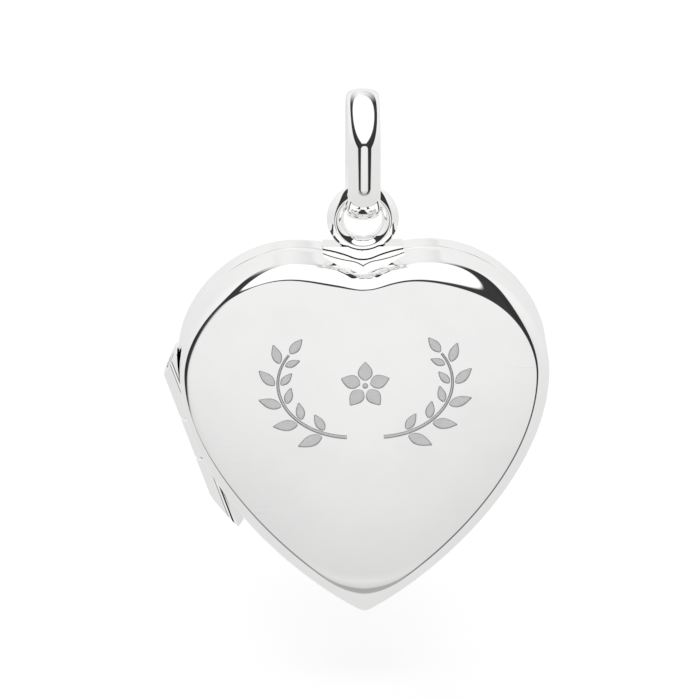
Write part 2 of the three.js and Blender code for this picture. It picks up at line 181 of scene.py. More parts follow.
def outline_half():
    """The right half from the cleft to the sharp tip, as close points, and the inward normals."""
    (lx, ly), (wx, wy) = LOBE_TOP, WIDEST
    first, second, third = CURVE_STEPS
    rise = HANDLE["tip"] * np.array([math.cos(TIP_ANGLE), math.sin(TIP_ANGLE)])
    cleft_out = (HANDLE["cleft"], CLEFT_Y + CLEFT_SLOPE * HANDLE["cleft"])
    pieces = [
        bezier([(0, CLEFT_Y), cleft_out, (lx - HANDLE["lobe_in"], ly), (lx, ly)], first),
        bezier([(lx, ly), (lx + HANDLE["lobe_out"], ly), (wx, wy + HANDLE["up"]), (wx, wy)], second),
        bezier([(wx, wy), (wx, wy - HANDLE["down"]), rise + (0, TIP_Y), (0, TIP_Y)], third),
    ]
    line = np.vstack([pieces[0][:-1], pieces[1][:-1], pieces[2]])
    along = np.gradient(line, axis=0)
    along /= np.linalg.norm(along, axis=1)[:, None]
    return line, np.stack([along[:, 1], -along[:, 0]], 1)


OUTLINE, INWARD = outline_half()


def arc_centre(line, radius, height):
    """The height on the line of symmetry, above the given one, that is a radius from a line."""
    low, high = height, height + 10
    for _ in range(40):
        middle = (low + high) / 2
        if np.hypot(line[:, 0], line[:, 1] - middle).min() < radius:
            low = middle
        else:
            high = middle
    return high


def arc_to(line, centre, radius):
    """An arc from the line of symmetry to the line's nearest point, and that point's place."""
    touch = int(np.argmin(np.hypot(line[:, 0], line[:, 1] - centre)))
    turn = np.linspace(0, math.atan2(line[touch, 0], centre - line[touch, 1]), 60)[:-1]
    return np.stack([radius * np.sin(turn), centre - radius * np.cos(turn)], 1), touch


CLEFT_CENTRE = arc_centre(OUTLINE, CLEFT_ROUND, CLEFT_Y)


def half_ring(inset, steps):
    """The right half of the outline moved inwards, from the rounded cleft to the rounded tip."""
    line = OUTLINE + inset * INWARD
    tip_round = TIP_ROUND + TIP_ROUND_GROWTH * max(inset, 0)
    cleft, start = arc_to(line, CLEFT_CENTRE, CLEFT_ROUND + inset)
    tip, end = arc_to(line, arc_centre(line, tip_round, TIP_Y), tip_round)
    line = np.vstack([cleft, line[start:end], tip[::-1]])
    run = np.concatenate([[0], np.cumsum(np.linalg.norm(np.diff(line, axis=0), axis=1))])
    even = np.linspace(0, 1, steps + 1)
    at = run[-1] * (even - CROWDING * np.sin(2 * np.pi * even) / (2 * np.pi))
    return np.stack([np.interp(at, run, line[:, 0]), np.interp(at, run, line[:, 1])], 1)


RINGS = {}


def heart_ring(inset, height, scale=1.0):
    """The whole outline, moved inwards, at a height above the seam."""
    key = round(inset, 6)
    if key not in RINGS:
        half = half_ring(inset, HALF_STEPS)
        RINGS[key] = np.vstack([half, half[-2:0:-1] * (-1, 1)])
    flat = RINGS[key] * scale
    return np.column_stack([flat, np.full(len(flat), height)])


def right_side(y):
    """The outline's point on the right at height y, and the direction inwards there."""
    lower = len(OUTLINE) // 3
    at = lower + int(np.argmin(np.abs(OUTLINE[lower:, 1] - y)))
    return OUTLINE[at], INWARD[at]


# ---------- meshes ----------


def on_heart(points):
    """From the heart's own frame to the locket's."""
    x, y, z = np.asarray(points, float).T
    return np.column_stack([x, SEAM_Y - z, HEART_Z + y])


def on_hinge(points):
    """From the hinge's frame, x across the tube and y along it, to the locket's."""
    x, y, z = np.asarray(points, float).T
    return HINGE_AT + np.outer(x, HINGE_ACROSS) + np.outer(y, HINGE_UP) - np.outer(z, (0, 1, 0))


def on_right_side(y, height):
    """From a frame with x inwards from the right side at height y and y along it."""
    point, inwards = right_side(y)

    def place(points):
        x, along, z = np.asarray(points, float).T
        flat = point + np.outer(x, inwards) + np.outer(along, (-inwards[1], inwards[0]))
        return on_heart(np.column_stack([flat, z + height]))

    return place


def new_mesh(name, points, faces, slots=None):
    mesh = bpy.data.meshes.new(name)
    mesh.from_pydata(np.asarray(points).tolist(), [], faces)
    if slots:
        mesh.polygons.foreach_set("material_index", slots)
    solid = bmesh.new()
    solid.from_mesh(mesh)
    bmesh.ops.recalc_face_normals(solid, faces=solid.faces)
    solid.to_mesh(mesh)
    solid.free()
    piece = bpy.data.objects.new(name, mesh)
    bpy.context.scene.collection.objects.link(piece)
    mesh.shade_smooth()
    return piece


def loft(name, rings, capped, place=on_heart, sides=None):
    """Joins rings of equal count. A capped loft is closed at both ends, any other runs round.

    sides gives the material slot of each strip along the loft."""
    count = len(rings[0])
    points = np.vstack(rings)
    spans = len(rings) - 1 if capped else len(rings)
    sides = sides or [0] * count
    faces, slots = [], []
    for r in range(spans):
        here, there = r * count, (r + 1) % len(rings) * count
        for i in range(count):
            j = (i + 1) % count
            faces.append((here + i, here + j, there + j, there + i))
            slots.append(sides[i])
    if capped:
        ends = [rings[0].mean(0), rings[-1].mean(0)]
        first, last = len(points), (len(rings) - 1) * count
        points = np.vstack([points, ends])
        for i in range(count):
            j = (i + 1) % count
            faces += [(first, j, i), (first + 1, last + i, last + j)]
            slots += [0, 0]
    return new_mesh(name, place(points), faces, slots)


def block(name, low, high, place):
    """A box from its corners."""
    corners = np.array([(x, y, z) for z in (low[2], high[2]) for x, y in
                        ((low[0], low[1]), (high[0], low[1]), (high[0], high[1]), (low[0], high[1]))])
    faces = [(0, 1, 2, 3), (4, 5, 6, 7), (0, 1, 5, 4), (1, 2, 6, 5), (2, 3, 7, 6), (3, 0, 4, 7)]
    return new_mesh(name, place(corners), faces)


def rod(name, radius, low, high, place=on_hinge, edge=0.0, axis=1, steps=72):
    """A rod along one axis, with rounded edges when asked."""
    turn = np.linspace(0, 2 * math.pi, steps, endpoint=False)
    stations = [(radius, low), (radius, high)]
    if edge:
        bend = np.linspace(0, math.pi / 2, 5)
        stations = [(radius - edge * (1 - math.sin(b)), low + edge * (1 - math.cos(b))) for b in bend]
        stations += [(radius - edge * (1 - math.cos(b)), high - edge * (1 - math.sin(b))) for b in bend]
    rings = []
    for reach, at in stations:
        ring = np.column_stack([reach * np.cos(turn), np.full(steps, at), reach * np.sin(turn)])
        rings.append(ring if axis else ring[:, [1, 0, 2]])
    return loft(name, rings, True, place)


def remake(piece):
    """Turns a piece's modifiers into its mesh."""
    ready = piece.evaluated_get(bpy.context.evaluated_depsgraph_get())
    mesh = bpy.data.meshes.new_from_object(ready)
    old = piece.data
    piece.modifiers.clear()
    piece.data = mesh
    bpy.data.meshes.remove(old)


def combine(piece, operation, tools):
    """Cuts closed tools out of a piece or joins them to it. Their materials come with them."""
    for tool in tools:
        step = piece.modifiers.new("combine", "BOOLEAN")
        step.operation = operation
        step.solver = "EXACT"
        step.material_mode = "TRANSFER"
        step.object = tool
    remake(piece)
    for tool in tools:
        mesh = tool.data
        bpy.data.objects.remove(tool)
        bpy.data.meshes.remove(mesh)


def cut(piece, *tools):
    combine(piece, "DIFFERENCE", tools)
    return piece


def crisp(piece, degrees=32, round_edge=0.0):
    """Keeps edges sharper than an angle sharp, or rounds them off a little first."""
    if round_edge:
        bevel = piece.modifiers.new("edges", "BEVEL")
        bevel.width = round_edge
        bevel.segments = 3
        bevel.limit_method = "ANGLE"
        bevel.angle_limit = math.radians(degrees)
        bevel.use_clamp_overlap = True
        remake(piece)
    piece.data.shade_smooth()
    piece.data.set_sharp_from_angle(angle=math.radians(degrees))
    if round_edge:
        even = piece.modifiers.new("even", "WEIGHTED_NORMAL")
        even.keep_sharp = True
        remake(piece)
    return piece


def arc_steps(count, start=0.0, end=90.0):
    return [math.radians(start + (end - start) * k / count) for k in range(count + 1)]


def heart_band(name, section, edge=0.04):
    """A ring-shaped piece whose section goes round the outline, with its corners eased."""
    corners = np.array(section, float)
    eased = []
    for k in range(len(corners)):
        here = corners[k]
        for other in (corners[k - 1], corners[(k + 1) % len(corners)]):
            reach = np.linalg.norm(other - here)
            eased.append(here + (other - here) / reach * min(edge, reach / 3))
    rings = [heart_ring(inset, height) for inset, height in eased]
    return loft(name, rings, False)


def heart_sheet(name, inset, low, high, edge=0.03):
    """A flat sheet with the heart's outline and eased edges."""
    rings = [heart_ring(inset + edge, low, 0.5), heart_ring(inset + edge, low),
             heart_ring(inset, low + edge), heart_ring(inset, high - edge),
             heart_ring(inset + edge, high), heart_ring(inset + edge, high, 0.5)]
    return loft(name, rings, True)


# ---------- covers ----------


def shoulder_width(side):
    """The shoulder's width down one half, cleft to tip, against its usual width.

    The press that rounded it left it wide over the right lobe and narrow round the left one."""
    run = np.linspace(0, 1, HALF_STEPS + 1)

    def swell(centre, reach):
        return np.exp(-((run - centre) / reach) ** 2)

    width = 0.95 - 0.15 * swell(0, 0.08) + 0.3 * swell(1, 0.12)
    if side > 0:
        return width + 0.5 * swell(0.26, 0.08)
    return width + 0.25 * swell(0.14, 0.08) - 0.68 * swell(0.42, 0.15)


SHOULDER_WIDTH = np.concatenate([shoulder_width(1), shoulder_width(-1)[-2:0:-1]])


def shoulder_ring(inset, height, scale=1.0):
    """A ring of a shoulder, whose width varies round the heart."""
    edge, wide = heart_ring(0, height), heart_ring(inset * WIDE_SHOULDER, height)
    ring = edge + SHOULDER_WIDTH[:, None] / WIDE_SHOULDER * (wide - edge)
    return ring * (scale, scale, 1)


def shoulder_profile(depth, tilt):
    """The rounded shoulder as (inset, height) points: a slow start at the face, then a tight arc."""
    slow = math.radians(SLOW_TURN)
    tight = (SHOULDER - SLOW_RADIUS * (math.sin(slow) - math.sin(tilt))) / (1 - math.sin(slow))
    drop = SLOW_RADIUS * (math.cos(tilt) - math.cos(slow))
    profile = []
    for turn in np.linspace(tilt, slow, 8)[:-1]:
        inset = SHOULDER - SLOW_RADIUS * (math.sin(turn) - math.sin(tilt))
        profile.append((inset, depth - SLOW_RADIUS * (math.cos(tilt) - math.cos(turn))))
    for turn in np.linspace(slow, math.pi / 2, 26):
        height = depth - drop - tight * (math.cos(slow) - math.cos(turn))
        profile.append((tight * (1 - math.sin(turn)), height))
    return profile


def cover(name, depth, dome, side):
    """A hollow cover, open at the seam; side is 1 for the front and -1 for the back."""
    shoulder = shoulder_profile(depth, math.radians(EDGE_TILT) if dome else 0)
    rings = []
    for scale in np.linspace(0.04, 0.96, 24):
        rings.append(shoulder_ring(SHOULDER, side * (depth + dome * (1 - scale ** 2)), scale))
    for inset, height in shoulder:
        rings.append(shoulder_ring(inset, side * height))
    for height in np.linspace(shoulder[-1][1], SEAM_EDGE, 6)[1:]:
        rings.append(heart_ring(0, side * height))
    for turn in arc_steps(4)[1:]:
        edge = SEAM_EDGE * (1 - math.cos(turn))
        rings.append(heart_ring(edge, side * SEAM_EDGE * (1 - math.sin(turn))))
    for turn in arc_steps(4):
        edge = WALL - SEAM_EDGE * (1 - math.sin(turn))
        rings.append(heart_ring(edge, side * SEAM_EDGE * (1 - math.cos(turn))))
    for turn in arc_steps(6):
        inset = WALL + INNER_CORNER * (1 - math.cos(turn))
        rings.append(heart_ring(inset, side * (depth - WALL - INNER_CORNER * (1 - math.sin(turn)))))
    for scale in (0.8, 0.5, 0.2, 0.05):
        rings.append(heart_ring(WALL + INNER_CORNER, side * (depth - WALL), scale))
    return loft(name, rings, True)


def face_height(x, y):
    """How far the domed front face stands above the seam at a place on it."""
    edge = shoulder_ring(SHOULDER, 0)
    order = np.argsort(np.arctan2(edge[:, 0], edge[:, 1]))
    angles = np.arctan2(edge[order, 0], edge[order, 1])
    reach = np.interp(np.arctan2(x, y), angles, np.hypot(*edge[order, :2].T), period=2 * math.pi)
    return FRONT_DEPTH + FACE_DOME * (1 - (np.hypot(x, y) / reach) ** 2)


def tube_rings(section):
    """Rings round the hinge's axis, from (radius, place along it) points."""
    turn = np.linspace(0, 2 * math.pi, TUBE_STEPS, endpoint=False)
    return [np.column_stack([radius * np.cos(turn), np.full(TUBE_STEPS, y), radius * np.sin(turn)])
            for radius, y in section]


def groove(owns_middle):
    """A tool for the groove that the tube lies in, wider round the other half's knuckles."""
    middle, sides = (OWN_GROOVE, RELIEF_GROOVE) if owns_middle else (RELIEF_GROOVE, OWN_GROOVE)
    step = MIDDLE + KNUCKLE_GAP / 2 - (GROOVE_LAP if owns_middle else 0)
    section = [(sides, -TUBE_END), (sides, -step), (middle, -step),
               (middle, step), (sides, step), (sides, TUBE_END)]
    return loft("groove", tube_rings(section), True, on_hinge)


# ---------- engraved ornament ----------

ENGRAVED_DEPTH = 0.07
ENGRAVED_SLOPE = 0.07
ENGRAVED_LIFT = 0.1
STEM_CENTRE = (0.9, 4.1)
STEM_REACH = (5.0, 3.9)
STEM_START = -86
STEM_TURN = 118
LEAF_PAIRS = 5
LEAF_LEAN = 0.75
LEAF_STALK = 0.22
INNER_LEAF = (1.3, 0.6)
OUTER_LEAF = (1.75, 0.78)
TOP_LEAF = (1.3, 0.62)
PETALS = 5
PETAL = (1.35, 0.95)
FLOWER_CENTRE = (0, 3.9)
FLOWER_EYE = 0.2


def engraver(name, line, half_width):
    """A tool for one engraved stroke: sloping sides, and a floor that follows the domed face."""
    along = np.gradient(line, axis=0)
    across = np.stack([along[:, 1], -along[:, 0]], 1) / np.linalg.norm(along, axis=1)[:, None]
    wide = half_width + ENGRAVED_SLOPE * ENGRAVED_LIFT / ENGRAVED_DEPTH
    narrow = np.maximum(half_width - ENGRAVED_SLOPE, half_width * 0.2)
    columns = [(wide, ENGRAVED_LIFT), (narrow, -ENGRAVED_DEPTH), (0 * wide, -ENGRAVED_DEPTH),
               (-narrow, -ENGRAVED_DEPTH), (-wide, ENGRAVED_LIFT), (0 * wide, ENGRAVED_LIFT)]
    strips = []
    for reach, lift in columns:
        flat = line + across * reach[:, None]
        strips.append(np.column_stack([flat, face_height(flat[:, 0], flat[:, 1]) + lift]))
    rings = [np.array([strip[k] for strip in strips]) for k in range(len(line))]
    # Slot 1, on both sloping sides of the stroke, is the darkened engraved metal: painted shade along
    # the stroke's edges.
    tool = loft(name, rings, True, sides=[1, 0, 0, 1, 0, 0])
    tool.data.materials.append(FINISHES["engraved"])
    tool.data.materials.append(FINISHES["engraved_side_painted_shade"])
    return tool


def unit(angle):
    """The unit vector at an angle from +x."""
    return np.array([math.cos(angle), math.sin(angle)])


def leaf(base, angle, length, width):
    """A pointed leaf that leaves its base at an angle from +x."""
    t = np.linspace(0, 1, 22)
    line = np.array(base) + length * t[:, None] * unit(angle)
    return engraver("leaf", line, 0.03 + width / 2 * np.sin(math.pi * t ** 0.8) ** 0.9)


def sprig(side):
    """A curved stem with pairs of leaves, on one side of the flower."""
    (cx, cy), (rx, ry) = STEM_CENTRE, STEM_REACH

    def stem_at(along):
        turn = math.radians(STEM_START) + math.radians(STEM_TURN) * along
        return np.array([cx + rx * np.cos(turn), cy + ry * np.sin(turn)]).T * (side, 1)

    leaves = []
    for pair in range(LEAF_PAIRS):
        along = 0.16 + 0.74 * pair / (LEAF_PAIRS - 1)
        tangent = stem_at(along + 0.01) - stem_at(along - 0.01)
        angle = math.atan2(tangent[1], tangent[0])
        size = 1 - 0.2 * pair / (LEAF_PAIRS - 1)
        for lean in (-LEAF_LEAN, LEAF_LEAN):
            length, width = INNER_LEAF if lean * side > 0 else OUTER_LEAF
            base = stem_at(along) + LEAF_STALK * unit(angle + 2 * lean)
            leaves.append(leaf(base, angle + lean, length * size, width * size))
    tangent = stem_at(1.0) - stem_at(0.99)
    tangent /= np.linalg.norm(tangent)
    leaves.append(leaf(stem_at(1.0) + 0.12 * tangent, math.atan2(tangent[1], tangent[0]), *TOP_LEAF))
    along = np.linspace(0, 1, 50)
    return engraver("stem", stem_at(along), 0.14 - 0.05 * along), leaves


def flower():
    """Five petals round a small eye."""
    petals = []
    for k in range(PETALS):
        angle = math.pi / 2 + 2 * math.pi * k / PETALS
        petals.append(leaf(np.array(FLOWER_CENTRE) + 0.36 * unit(angle), angle, *PETAL))
    turn = np.linspace(0.08, math.pi - 0.08, 20)
    line = np.array(FLOWER_CENTRE) + FLOWER_EYE * np.stack([-np.cos(turn), 0 * turn], 1)
    return petals + [engraver("eye", line, FLOWER_EYE * np.sin(turn))]


def merged(name, tools):
    """One tool from several that stay clear of each other."""
    solid = bmesh.new()
    for tool in tools:
        solid.from_mesh(tool.data)
    mesh = bpy.data.meshes.new(name)
    solid.to_mesh(mesh)
    solid.free()
    for material in tools[0].data.materials:
        mesh.materials.append(material)
    result = bpy.data.objects.new(name, mesh)
    bpy.context.scene.collection.objects.link(result)
    for tool in tools:
        bpy.data.objects.remove(tool)
    return result


def ornament():
    """The tools for the whole ornament: two sprigs with a flower between them."""
    right_stem, right_leaves = sprig(1)
    left_stem, left_leaves = sprig(-1)
    return [merged("leaves", right_leaves + left_leaves + flower()),
            merged("stems", [right_stem, left_stem])]


# ---------- fittings inside the covers ----------


def along_hinge(band, room):
    """Keeps the part of a band that a bearer takes up along the hinge, with room at its ends."""
    low, high = (-3, BEARER_BOTTOM - room, -5), (4, BEARER_TOP + room, 5)
    combine(band, "INTERSECT", [block("span", low, high, on_hinge)])
    return band


def bearer_room():
    """A tool that clears the rims and frames away from both bearers."""
    low, high = -BEARER_DEPTH - BEARER_ROOM, BEARER_DEPTH + BEARER_ROOM
    outer, inner = 0.2, BEARER_INNER + SOLDER_GAP
    band = heart_band("room", [[outer, low], [outer, high], [inner, high], [inner, low]], 0.001)
    return along_hinge(band, BEARER_ROOM)


def bearer(name, side, owns_middle):
    """The strip inside one cover that the knuckles are soldered to."""
    low, high = side * SOLDER_GAP, side * BEARER_DEPTH
    outer = WALL + SOLDER_GAP
    band = heart_band(name, [[outer, low], [outer, high], [BEARER_INNER, high], [BEARER_INNER, low]])
    return crisp(cut(along_hinge(band, 0), groove(owns_middle)))


def bead(name, radius, low, high, edge=0.0):
    """A short rod that points inwards at the catch."""
    place = on_right_side(CATCH_Y, RIM_STANDS / 2)
    return rod(name, radius, low, high, place, edge, axis=0, steps=48)


def snap_rim():
    """The back cover's inner rim, which keeps the covers in line, with a ledge for the photo frame."""
    ledge = BACK_STACK - FRAME_LIP - 2 * SHEET_THICK - 3 * SHEET_GAP
    outer = WALL + SOLDER_GAP
    section = [[outer, -SOLDER_GAP], [outer, ledge - LEDGE_THICK], [LEDGE_INNER, ledge - LEDGE_THICK],
               [LEDGE_INNER, ledge], [RIM_INNER, ledge], [RIM_INNER, RIM_STANDS],
               [RIM_OUTER, RIM_STANDS], [RIM_OUTER, -SOLDER_GAP]]
    seat = bead("bead_seat", BEAD_RADIUS + BEAD_ROOM, 0, 2)
    return crisp(cut(heart_band("snap_rim", section), bearer_room(), seat))


def seat_ring():
    """The ring in the front cover that its photo frame sits on."""
    ledge = FRONT_STACK + FRAME_LIP + 2 * SHEET_THICK + 3 * SHEET_GAP
    outer = WALL + SOLDER_GAP
    section = [[outer, FRONT_STACK], [outer, ledge + LEDGE_THICK], [LEDGE_INNER, ledge + LEDGE_THICK],
               [LEDGE_INNER, ledge], [RIM_INNER, ledge], [RIM_INNER, FRONT_STACK]]
    return crisp(cut(heart_band("seat_ring", section), bearer_room()))


def photo_frame(name, face, side):
    """A frame round a photo, with a lip that keeps the window and the card in."""
    lip = face + side * FRAME_LIP
    end = lip + side * 2 * (SHEET_THICK + SHEET_GAP)
    inner = FRAME_OUTER + FRAME_WALL
    section = [[FRAME_OUTER, face], [FRAME_OUTER, end], [inner, end], [inner, lip],
               [FRAME_INNER, lip], [FRAME_INNER, face]]
    return crisp(cut(heart_band(name, section, 0.06), bearer_room()))


def sheet(name, face, side, skipped):
    """A window or card in a photo frame, past what already lies in it."""
    low = face + side * (FRAME_LIP + SHEET_GAP + skipped)
    high = low + side * SHEET_THICK
    return crisp(heart_sheet(name, SHEET_INSET, min(low, high), max(low, high)))


# ---------- hinge ----------


def heart_core():
    """A tool for everything inside the covers' outline and a solder gap round it."""
    walls = [heart_ring(-SOLDER_GAP, height) for height in (-BACK_DEPTH - 1, FRONT_DEPTH + 1)]
    return loft("heart", walls, True)


def file_end(piece, at, slope):
    """Cuts away what lies past a filed end of the tube, and closes the cut."""
    lean = math.atan(slope)
    outwards = math.copysign(1, at) * (math.cos(lean) * HINGE_UP - math.sin(lean) * HINGE_ACROSS)
    solid = bmesh.new()
    solid.from_mesh(piece.data)
    everything = solid.verts[:] + solid.edges[:] + solid.faces[:]
    done = bmesh.ops.bisect_plane(solid, geom=everything, dist=1e-6, plane_co=HINGE_AT + at * HINGE_UP,
                                  plane_no=outwards, clear_outer=True)
    rim = [part for part in done["geom_cut"] if isinstance(part, bmesh.types.BMEdge)]
    bmesh.ops.triangle_fill(solid, use_beauty=True, edges=rim)
    bmesh.ops.recalc_face_normals(solid, faces=solid.faces)
    solid.to_mesh(piece.data)
    solid.free()


def tube(name, low, high):
    """A length of tube round the pin, with eased ends."""
    edge = TUBE_EDGE
    section = [(TUBE_RADIUS - edge, low), (TUBE_RADIUS, low + edge), (TUBE_RADIUS, high - edge),
               (TUBE_RADIUS - edge, high), (BORE_RADIUS + edge, high), (BORE_RADIUS, high - edge),
               (BORE_RADIUS, low + edge), (BORE_RADIUS + edge, low)]
    return loft(name, tube_rings(section), False, on_hinge)


def side_knuckle(name, low, high, filed):
    """A knuckle of the back cover, filed off at its outer end, and the web under it."""
    top, bottom = WEB_ROOT
    corners = np.array([top, (WEB_REACH, -SOLDER_GAP), (WEB_REACH, -WEB_THICK), bottom])
    ends = [np.column_stack([corners[:, 0], np.full(4, y), corners[:, 1]])
            for y in (low + WEB_SHORT, high - WEB_SHORT)]
    web = loft("web", ends, True, on_hinge)
    cut(web, heart_core())
    knuckle = tube(name, low, high)
    combine(knuckle, "UNION", [web])
    for end in filed:
        file_end(knuckle, *end)
    return crisp(knuckle, 35, 0.04)


def pin():
    """The hinge pin, filed at both ends with the knuckles."""
    wire = rod("pin", PIN_RADIUS, -TUBE_END, TUBE_END, steps=48)
    for end in UPPER_FILED + LOWER_FILED:
        file_end(wire, *end)
    return crisp(wire, 35, 0.03)


# ---------- eye, saddle and bail ----------


def eye_rings(wire):
    """The rings of the eye's torus, which stands in the front plane, for a thickness of wire."""
    rings = []
    section = np.linspace(0, 2 * math.pi, EYE_SIDES, endpoint=False)
    for turn in np.linspace(0, 2 * math.pi, EYE_TURNS, endpoint=False):
        out = EYE_RADIUS + wire * np.cos(section)
        rings.append(np.column_stack([out * math.cos(turn), wire * np.sin(section),
                                      EYE_Z + out * math.sin(turn)]))
    return rings


def eye_ring():
    """The round ring that the bail hangs in."""
    return loft("eye_ring", eye_rings(EYE_WIRE), False, np.asarray)


def saddle():
    """The block soldered into the cleft of the back cover, hollowed on top for the eye."""
    low = (-SADDLE_HALF_WIDTH, SADDLE_TOP - 4, SADDLE_BACK)
    high = (SADDLE_HALF_WIDTH, SADDLE_TOP, SADDLE_FRONT)
    piece = block("saddle", low, high, on_heart)
    seat = loft("seat", eye_rings(EYE_WIRE + SOLDER_GAP), False, np.asarray)
    middle = rod("middle", EYE_RADIUS, -3, 3, on_eye, steps=EYE_TURNS)
    cut(piece, heart_core(), seat, middle)
    return crisp(piece, 35, 0.07)


def on_eye(points):
    """From a frame about the eye's centre to the locket's."""
    x, y, z = np.asarray(points, float).T
    return np.column_stack([x, y, EYE_Z + z])


def bulge(value):
    """A sine or cosine turned into a slightly squarer curve."""
    return np.sign(value) * np.abs(value) ** (2 / BAIL_BULGE)


def bail_loop():
    """An oval loop: a low-domed section carried round two half circles and two straights."""
    radius = BAIL_OUTER - BAIL_THICK / 2
    upper = BAIL_THICK / 2 - radius
    lower = BAIL_LOW.z / MM + BAIL_THICK / 2 + radius
    section = np.linspace(0, 2 * math.pi, 64, endpoint=False)
    out = radius + BAIL_THICK / 2 * bulge(np.sin(section))
    rings = []
    for centre, start in ((upper, 0), (lower, math.pi)):
        for turn in start + np.linspace(0, math.pi, 61):
            rings.append(np.column_stack([BAIL_WIDTH / 2 * bulge(np.cos(section)),
                                          out * math.cos(turn), centre + out * math.sin(turn)]))
    return loft("bail_loop", rings, False, np.asarray)


# ---------- finishes ----------


class Nodes:
    """Short calls for building a node tree."""

    def __init__(self, tree):
        self.tree = tree
        tree.nodes.clear()

    def add(self, kind, inputs=(), **settings):
        node = self.tree.nodes.new(kind)
        for name, value in settings.items():
            setattr(node, name, value)
        for key, value in dict(inputs).items():
            if isinstance(value, bpy.types.NodeSocket):
                self.tree.links.new(value, node.inputs[key])
            else:
                node.inputs[key].default_value = value
        return node

    def math(self, operation, *values):
        return self.add("ShaderNodeMath", enumerate(values), operation=operation).outputs[0]

    def most(self, *values):
        top = values[0]
        for value in values[1:]:
            top = self.math("MAXIMUM", top, value)
        return top

    def smooth(self, value, low, high, start=0.0, end=1.0):
        sockets = {"Value": value, "From Min": low, "From Max": high, "To Min": start, "To Max": end}
        return self.add("ShaderNodeMapRange", sockets, interpolation_type="SMOOTHSTEP").outputs[0]

    def mix(self, factor, first, second):
        gap = self.math("SUBTRACT", second, first)
        return self.math("MULTIPLY_ADD", gap, factor, first)

    def noise(self, scale, stretch=(1, 1, 1), turn=(0, 0, 0), detail=2.0, distortion=0.0):
        """Noise in the piece's own coordinates; scale is in features per millimetre."""
        place = self.add("ShaderNodeTexCoord").outputs["Object"]
        sockets = {"Vector": place, "Scale": stretch, "Rotation": turn}
        mapped = self.add("ShaderNodeMapping", sockets).outputs[0]
        sockets = {"Vector": mapped, "Scale": scale / MM, "Detail": detail, "Distortion": distortion}
        return self.add("ShaderNodeTexNoise", sockets).outputs[0]

    def tint(self, factor, first, second):
        """A colour between two; the mix node's colour sockets share their names, so it uses numbers."""
        sockets = {0: factor, 6: (*first, 1), 7: (*second, 1)}
        return self.add("ShaderNodeMix", sockets, data_type="RGBA").outputs[2]

    def bump(self, height, strength, distance):
        sockets = {"Height": height, "Strength": strength, "Distance": distance * MM}
        return self.add("ShaderNodeBump", sockets).outputs[0]

    def surface(self, **sockets):
        named = {key.replace("_", " "): value for key, value in sockets.items()}
        shader = self.add("ShaderNodeBsdfPrincipled", named)
        self.add("ShaderNodeOutputMaterial", {"Surface": shader.outputs[0]})


def new_finish(name):
    material = bpy.data.materials.new(name)
    material.use_nodes = True
    return material, Nodes(material.node_tree)


def hairlines(make, length, angles):
    """Fine straight scratches in a few directions, 0 to 1."""
    sets = []
    for k, angle in enumerate(angles):
        turn = (0.3 * k, math.radians(angle), 0.2 * k)
        fine = make.noise(9.0, (1 / length, 1 / length, 1), turn, 1.0)
        sets.append(make.smooth(fine, 0.68, 0.74))
    return make.most(*sets)


def polished_silver():
    material, make = new_finish("polished_silver")
    scratches = hairlines(make, 60, (20, 75, 130))
    haze = make.smooth(make.noise(0.35, detail=4), 0.35, 0.75)
    wear = make.smooth(make.noise(0.12, detail=3), 0.45, 0.7)
    marks = make.math("MULTIPLY", scratches, wear)
    roughness = make.math("MULTIPLY_ADD", haze, 0.02, 0.025)
    roughness = make.math("MULTIPLY_ADD", marks, 0.10, roughness)
    grain = make.math("MULTIPLY_ADD", marks, -0.6, make.noise(0.18, detail=1))
    colour = make.tint(haze, (0.975, 0.973, 0.968), (0.955, 0.953, 0.95))
    make.surface(Base_Color=colour, Metallic=1.0, Roughness=roughness,
                 Normal=make.bump(grain, 0.25, 0.001))
    return material


def satin_silver():
    material, make = new_finish("satin_silver")
    brushed = make.noise(7.0, (0.06, 1, 1), (0, math.radians(25), 0), 3)
    cloud = make.noise(0.3, detail=4)
    roughness = make.math("MULTIPLY_ADD", brushed, 0.22, 0.2)
    roughness = make.math("MULTIPLY_ADD", cloud, 0.08, roughness)
    colour = make.tint(cloud, (0.86, 0.855, 0.845), (0.78, 0.775, 0.765))
    make.surface(Base_Color=colour, Metallic=1.0, Roughness=roughness,
                 Normal=make.bump(brushed, 0.3, 0.01))
    return material


def hinge_wire():
    material, make = new_finish("hinge_wire")
    drawn = make.noise(14.0, (1, 1, 0.04), (0, math.radians(-19.3), 0), 2)
    cloud = make.noise(0.8, detail=3)
    roughness = make.math("MULTIPLY_ADD", drawn, 0.2, 0.12)
    colour = make.tint(cloud, (0.8, 0.795, 0.785), (0.68, 0.675, 0.665))
    make.surface(Base_Color=colour, Metallic=1.0, Roughness=roughness,
                 Normal=make.bump(drawn, 0.25, 0.01))
    return material


def clear_acetate():
    material, make = new_finish("clear_acetate")
    smear = make.smooth(make.noise(0.25, (1, 1, 0.4), detail=5), 0.45, 0.75)
    scratches = hairlines(make, 40, (10, 100))
    roughness = make.math("MULTIPLY_ADD", smear, 0.08, 0.03)
    roughness = make.math("MULTIPLY_ADD", scratches, 0.12, roughness)
    film = make.math("MULTIPLY_ADD", smear, 0.05, 0.09)
    film = make.math("MULTIPLY_ADD", scratches, 0.1, film)
    make.surface(Base_Color=(0.93, 0.95, 0.95, 1), IOR=1.48, Alpha=film, Specular_IOR_Level=1.0,
                 Roughness=roughness, Normal=make.bump(smear, 0.05, 0.01))
    return material


def blank_card():
    material, make = new_finish("blank_card")
    fibres = make.noise(5.0, (1, 1, 0.25), (0, 0.6, 0), 6, 0.6)
    mottle = make.noise(0.5, detail=5)
    blend = make.math("MULTIPLY_ADD", fibres, 0.6, make.math("MULTIPLY", mottle, 0.4))
    colour = make.tint(blend, (0.93, 0.91, 0.86), (0.84, 0.815, 0.75))
    make.surface(Base_Color=colour, Roughness=0.88, Sheen_Weight=0.15,
                 Normal=make.bump(fibres, 0.35, 0.03))
    return material


